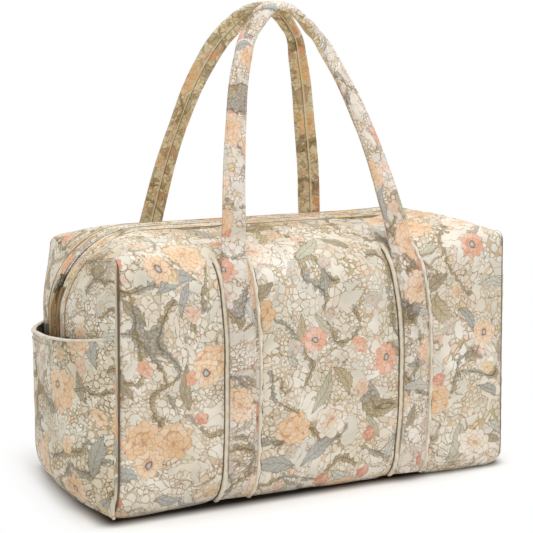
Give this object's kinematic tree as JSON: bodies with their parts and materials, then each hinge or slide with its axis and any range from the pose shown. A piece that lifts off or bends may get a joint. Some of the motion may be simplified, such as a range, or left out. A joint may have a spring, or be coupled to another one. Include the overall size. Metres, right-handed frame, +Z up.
{
  "type": "carpet bag",
  "caption": "Soft boxy travel bag of flowered quilted cloth with a zip over the top, slip pockets on the ends and upright strap handles.",
  "frame": {"origin": "middle of the base on the floor", "axes": "+Z up, +X along the length, the front looks towards -Y"},
  "size_m": [0.5934, 0.281, 0.5754],
  "materials": {
    "print_cloth": "matte",
    "cream_binding": "matte",
    "brown_piping": "matte",
    "zip_tape": "matte",
    "zip_metal": "satin",
    "stiff_board": "matte"
  },
  "bodies": {
    "bag": {"front_panel": "print_cloth", "back_panel": "print_cloth", "bottom_panel": "print_cloth", "left_end_panel": "print_cloth", "right_end_panel": "print_cloth", "front_zip_gusset": "print_cloth", "back_zip_gusset": "print_cloth", "front_zip_tape": "zip_tape", "back_zip_tape": "zip_tape", "front_zip_chain": "zip_metal", "back_zip_chain": "zip_metal", "left_zip_stop": "zip_metal", "right_zip_stop": "zip_metal", "base_board": "stiff_board", "left_pocket": "print_cloth", "right_pocket": "print_cloth", "left_pocket_hem": "cream_binding", "right_pocket_hem": "cream_binding", "front_handle": "print_cloth", "back_handle": "print_cloth", "front_left_band": "print_cloth", "front_left_bindings": "cream_binding", "left_front_piping": "brown_piping", "back_left_band": "print_cloth", "back_left_bindings": "cream_binding", "left_back_piping": "brown_piping", "front_right_band": "print_cloth", "front_right_bindings": "cream_binding", "right_front_piping": "brown_piping", "back_right_band": "print_cloth", "back_right_bindings": "cream_binding", "right_back_piping": "brown_piping"},
    "zip_slider": {"zip_slider": "zip_metal"},
    "zip_pull": {"zip_pull": "zip_metal"}
  },
  "joints": [
    {"name": "zip_travel", "type": "hinge", "parent": "bag", "child": "zip_slider", "pos_m": [-0.176, 0, 0.215], "axis": [0, 1, 0], "range_deg": [-24, 58]},
    {"name": "pull_swing", "type": "hinge", "parent": "zip_slider", "child": "zip_pull", "pos_m": [-0.26862, 0, 0.26425], "axis": [0, 1, 0], "range_deg": [0, 150]}
  ]
}
